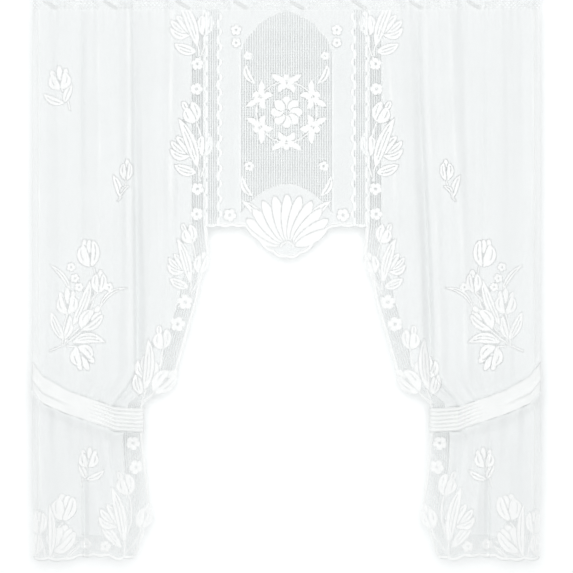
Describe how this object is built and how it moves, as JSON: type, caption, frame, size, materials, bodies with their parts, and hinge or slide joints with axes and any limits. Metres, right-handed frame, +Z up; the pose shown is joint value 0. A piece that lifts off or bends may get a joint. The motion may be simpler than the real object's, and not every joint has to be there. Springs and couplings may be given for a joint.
{
  "type": "lace cafe curtain",
  "caption": "One-piece white lace cafe curtain: short valance between two side panels held back by soft tie-bands, hung by a slotted heading.",
  "frame": {"origin": "middle of the hanging edge, the top edge of the heading strip", "axes": "+Z up, +X to the right as seen from the room, the front of the cloth looks along -Y"},
  "size_m": [1.4754, 0.0492, 1.6796],
  "materials": {
    "lace": "matt sheer raschel lace, white polyester",
    "heading": "matt close-knit white polyester strip",
    "tie": "matt close-knit white polyester band, pleated at its inner end"
  },
  "bodies": {
    "root": {"heading_strip": "heading", "lace_body": "lace", "tie_left": "tie", "tie_right": "tie"}
  },
  "joints": []
}
